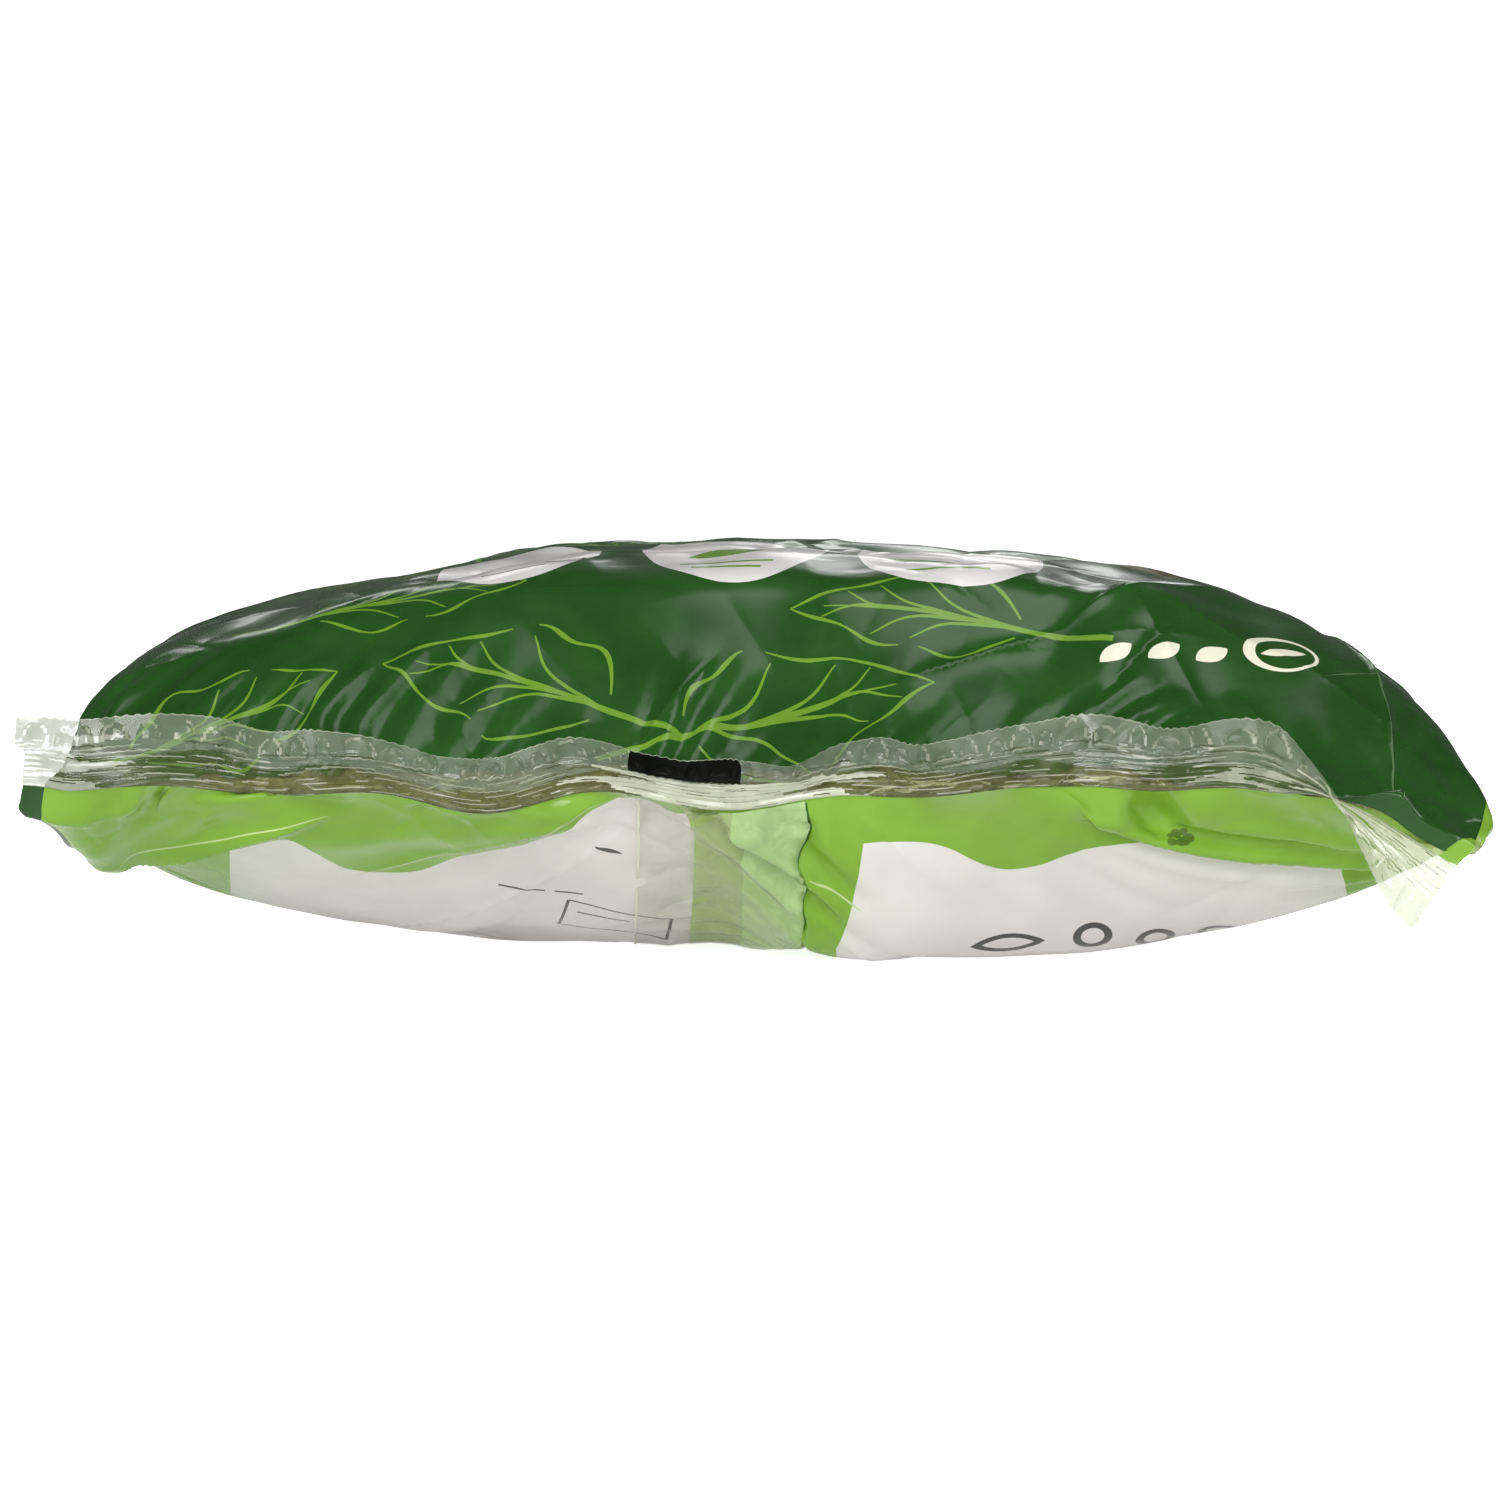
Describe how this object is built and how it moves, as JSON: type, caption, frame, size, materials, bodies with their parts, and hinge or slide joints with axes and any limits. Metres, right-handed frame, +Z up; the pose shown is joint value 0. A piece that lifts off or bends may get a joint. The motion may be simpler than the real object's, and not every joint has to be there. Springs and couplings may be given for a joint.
{
  "type": "sealed bag of chard greens",
  "caption": "Sealed pillow bag of leafy greens in printed film, lying flat, with crimped end seals and a folded back seam.",
  "frame": {"origin": "middle of the bag on the surface that it lies on", "axes": "+Z up out of the printed front panel, +Y along the bag from the near end seal to the far one, +X across the film towards the right fold as seen from the near seal"},
  "size_m": [0.3042, 0.3852, 0.0864],
  "materials": {
    "printed_film": "glossy film printed dark green",
    "clear_film": "clear crimped film",
    "seam_film": "glossy film printed light green"
  },
  "bodies": {
    "root": {"bag_body": "printed_film", "front_end_seal": "clear_film", "rear_end_seal": "clear_film", "back_seam": "seam_film"}
  },
  "joints": []
}
